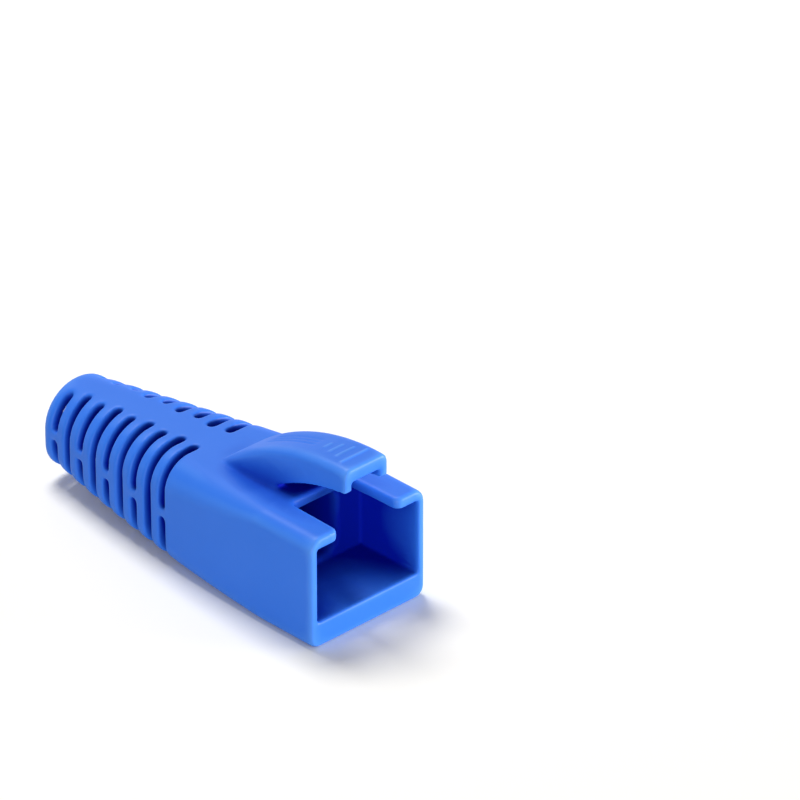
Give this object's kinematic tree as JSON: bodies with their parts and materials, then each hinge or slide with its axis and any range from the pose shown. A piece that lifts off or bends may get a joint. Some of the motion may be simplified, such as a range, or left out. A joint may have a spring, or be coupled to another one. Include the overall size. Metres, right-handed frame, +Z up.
{
  "type": "strain relief boot",
  "caption": "Snagless strain relief boot for a modular network plug: a box-shaped mouth, an arched guard tab over the latch and a slotted tapering tail with a round cable outlet.",
  "frame": {"origin": "centre of the outline's box, on the surface that the boot rests on", "axes": "X along the cable: the plug's mouth faces -X and the cable leaves towards +X; Y across the boot; Z up, with the latch's guard tab on top"},
  "size_m": [0.038, 0.0136, 0.016],
  "materials": {
    "boot_plastic": "satin soft blue vinyl, moulded in one colour"
  },
  "bodies": {
    "root": {"strain_relief_boot": "boot_plastic"}
  },
  "joints": []
}
